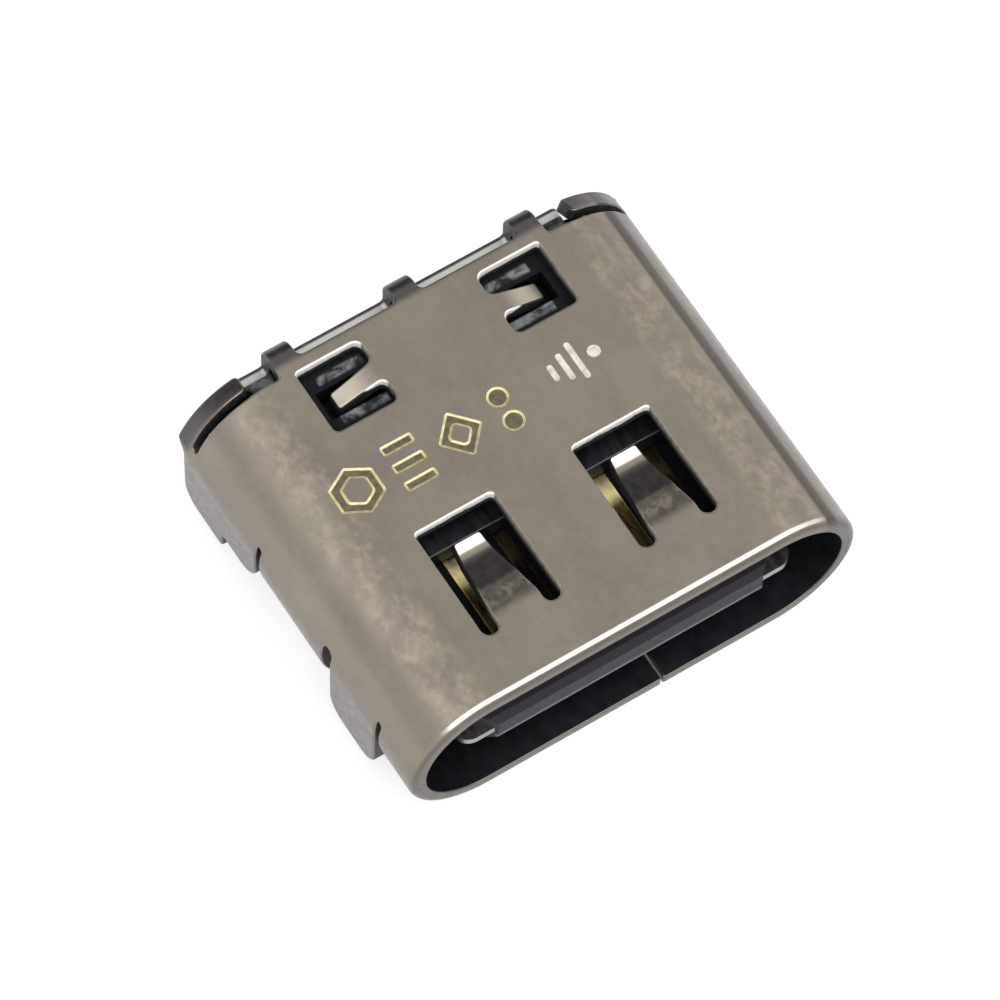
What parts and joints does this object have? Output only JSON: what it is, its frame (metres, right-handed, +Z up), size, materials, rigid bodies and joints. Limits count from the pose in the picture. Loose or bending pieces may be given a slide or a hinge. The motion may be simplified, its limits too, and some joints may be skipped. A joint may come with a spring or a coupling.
{
  "type": "usb-c socket",
  "caption": "Sunk board socket for a reversible plug: oval folded steel shell, black housing with a contact tongue, solder feet and pins.",
  "frame": {"origin": "middle of the bounding box, at the height of the shell's flat underside", "axes": "+Z up from the board, mouth faces -Y, plug goes in along +Y, X across the socket"},
  "size_m": [0.009, 0.008, 0.0032],
  "materials": {
    "shell_steel": "satin, warm grey, lightly grained",
    "housing_plastic": "fine matt",
    "carrier_plastic": "fine matt",
    "plate_steel": "bright satin",
    "contact_gold": "gold flash over copper alloy"
  },
  "bodies": {
    "root": {"shell": "shell_steel", "housing": "housing_plastic", "upper_carrier": "carrier_plastic", "lower_carrier": "carrier_plastic", "mid_plate": "plate_steel", "upper_ground_plate": "plate_steel", "lower_ground_plate": "plate_steel", "contact_a1": "contact_gold", "contact_a2": "contact_gold", "contact_a3": "contact_gold", "contact_a4": "contact_gold", "contact_a5": "contact_gold", "contact_a6": "contact_gold", "contact_a7": "contact_gold", "contact_a8": "contact_gold", "contact_a9": "contact_gold", "contact_a10": "contact_gold", "contact_a11": "contact_gold", "contact_a12": "contact_gold", "contact_b1": "contact_gold", "contact_b2": "contact_gold", "contact_b3": "contact_gold", "contact_b4": "contact_gold", "contact_b5": "contact_gold", "contact_b6": "contact_gold", "contact_b7": "contact_gold", "contact_b8": "contact_gold", "contact_b9": "contact_gold", "contact_b10": "contact_gold", "contact_b11": "contact_gold", "contact_b12": "contact_gold"}
  },
  "joints": []
}
